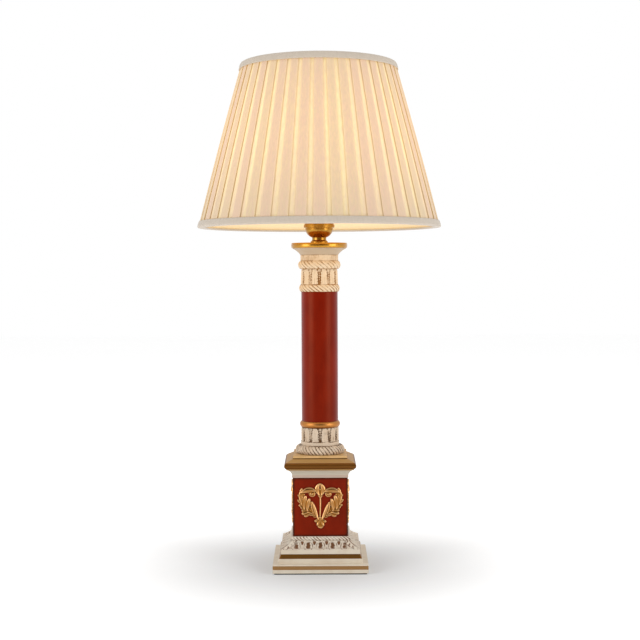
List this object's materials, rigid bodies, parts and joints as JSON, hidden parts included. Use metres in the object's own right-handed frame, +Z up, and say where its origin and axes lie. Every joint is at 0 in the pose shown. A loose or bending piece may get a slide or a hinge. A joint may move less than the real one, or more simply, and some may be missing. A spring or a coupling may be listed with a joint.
{
  "type": "column table lamp",
  "caption": "Table lamp: a square pedestal with gilt reliefs, a round column and a tilting box-pleated shade on a gimbal.",
  "frame": {"origin": "on the table, under the column's axis", "axes": "+Z up along the column; -Y is the front, away from the cable inlet; +X to the right seen from the front"},
  "size_m": [0.305, 0.305, 0.6275],
  "materials": {
    "cream_lacquer": "cream lacquer on turned and carved wood, rubbed with brown patina, with gilt lines",
    "red_lacquer": "deep red satin lacquer on wood",
    "gilt": "gilt, softly burnished",
    "brass": "polished lacquered brass",
    "iron": "rough black casting",
    "steel": "zinc-plated thread and fasteners",
    "felt": "dark felt",
    "black_rubber": "soft black bush",
    "porcelain": "white glazed porcelain",
    "opal_glass": "frosted glass, lit",
    "clear_glass": "clear stem",
    "bulb_metal": "bare screw cap",
    "white_wire": "white enamelled steel wire",
    "pleated_fabric": "ivory silk-like cloth in box pleats, lit from inside",
    "lining_fabric": "pale plain lining, lit",
    "trim_fabric": "ivory self-fabric band"
  },
  "bodies": {
    "stand": {"base_plinth": "cream_lacquer", "base_leaf_moulding": "cream_lacquer", "pedestal_cornice": "cream_lacquer", "column_foot": "cream_lacquer", "capital": "cream_lacquer", "capital_flare": "cream_lacquer", "pedestal_die": "red_lacquer", "column_shaft": "red_lacquer", "ornament_front": "gilt", "ornament_right": "gilt", "ornament_back": "gilt", "ornament_left": "gilt", "foot_plinth": "gilt", "column_collar": "gilt", "abacus_disc": "gilt", "seating_ring": "brass", "lampholder_cap": "brass", "switch_housing": "brass", "lampholder_skirt": "brass", "screw_shell": "brass", "contact_tongue": "brass", "base_weight": "iron", "tie_rod": "steel", "rod_washer": "steel", "rod_nut": "steel", "terminal_screws": "steel", "felt_pad": "felt", "cable_grommet": "black_rubber", "lampholder_insulator": "porcelain"},
    "switch_bar": {"switch_bar": "brass"},
    "bulb": {"bulb_glass": "opal_glass", "bulb_cap": "bulb_metal", "bulb_contact": "bulb_metal", "filament_stem": "clear_glass"},
    "shade_ring": {"shade_ring": "brass"},
    "fitter": {"fitter_ring": "brass"},
    "shade": {"gimbal_spider": "white_wire", "frame_strut_1": "white_wire", "frame_strut_2": "white_wire", "frame_strut_3": "white_wire", "frame_strut_4": "white_wire", "frame_strut_5": "white_wire", "frame_strut_6": "white_wire", "frame_strut_7": "white_wire", "frame_strut_8": "white_wire", "bottom_wire_ring": "white_wire", "top_wire_ring": "white_wire", "pleated_cover": "pleated_fabric", "lining": "lining_fabric", "top_trim": "trim_fabric", "bottom_trim": "trim_fabric"}
  },
  "joints": [
    {"name": "shade_turn", "type": "hinge", "parent": "stand", "child": "fitter", "pos_m": [0, 0, 0.4498], "axis": [0, 0, 1], "continuous": true},
    {"name": "shade_tilt", "type": "hinge", "parent": "fitter", "child": "shade", "pos_m": [0, 0, 0.4498], "axis": [1, 0, 0], "range_deg": [-15, 15]},
    {"name": "switch_push", "type": "slide", "parent": "stand", "child": "switch_bar", "axis": [-1, 0, 0], "range_m": [0, 0.006]},
    {"name": "bulb_turn", "type": "hinge", "parent": "stand", "child": "bulb", "pos_m": [0, 0, 0.4492], "axis": [0, 0, 1], "range_deg": [0, 1080]},
    {"name": "ring_turn", "type": "hinge", "parent": "stand", "child": "shade_ring", "pos_m": [0, 0, 0.4516], "axis": [0, 0, 1], "range_deg": [0, 1080]}
  ]
}
